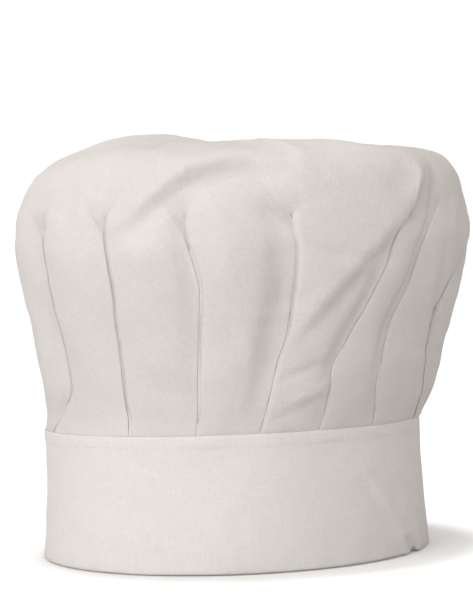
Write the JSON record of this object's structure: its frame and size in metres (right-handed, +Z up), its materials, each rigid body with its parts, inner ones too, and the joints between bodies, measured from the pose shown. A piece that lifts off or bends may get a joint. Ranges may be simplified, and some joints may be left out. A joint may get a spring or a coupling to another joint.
{
  "type": "chef toque",
  "caption": "Chef's hat with a puffed, knife-pleated cotton crown gathered into a plain folded head band, closed at the back by a peel-off hook-and-loop tab.",
  "frame": {"origin": "middle of the head opening, on the plane of the band's lower edge", "axes": "+Z up through the crown, the wearer faces -Y, +X to the wearer's left; the closure is at +Y"},
  "size_m": [0.2265, 0.2249, 0.2063],
  "materials": {
    "crown_cloth": "matt white plain-weave cotton and polyester cloth",
    "band_cloth": "matt white plain-weave cotton and polyester cloth, fused and pressed",
    "tab_cloth": "matt white plain-weave cotton and polyester cloth, pressed",
    "interlining": "white non-woven stiffener",
    "loop_tape": "white brushed nylon loop pile",
    "hook_tape": "white woven nylon tape with moulded hooks",
    "thread": "white spun polyester sewing thread",
    "label": "white woven satin ribbon, blank"
  },
  "bodies": {
    "band": {"band_cloth": "band_cloth", "band_interlining": "interlining", "band_topstitch": "thread", "band_end_stitch_left": "thread", "band_end_stitch_right": "thread", "crown_side": "crown_cloth", "slit_binding": "crown_cloth", "slit_binding_stitch": "thread", "slit_bar_tack": "thread", "closure_tab_root": "tab_cloth", "tab_root_stitch": "thread", "loop_tape": "loop_tape", "loop_tape_stitch": "thread", "care_label": "label", "care_label_stitch": "thread"},
    "closure_tab": {"closure_tab": "tab_cloth", "closure_tab_interlining": "interlining", "closure_tab_edge_stitch": "thread", "hook_tape": "hook_tape", "hook_tape_stitch": "thread"},
    "crown_top": {"crown_top": "crown_cloth"}
  },
  "joints": [
    {"name": "closure_tab_peel", "type": "hinge", "parent": "band", "child": "closure_tab", "pos_m": [-0.00753, 0.09899, 0.032], "axis": [0, 0, 1], "range_deg": [0, 140]},
    {"name": "crown_collapse", "type": "slide", "parent": "band", "child": "crown_top", "axis": [0, 0, -1], "range_m": [0, 0.065], "deforming": ["crown_side", "slit_binding", "slit_binding_stitch", "slit_bar_tack"]}
  ]
}
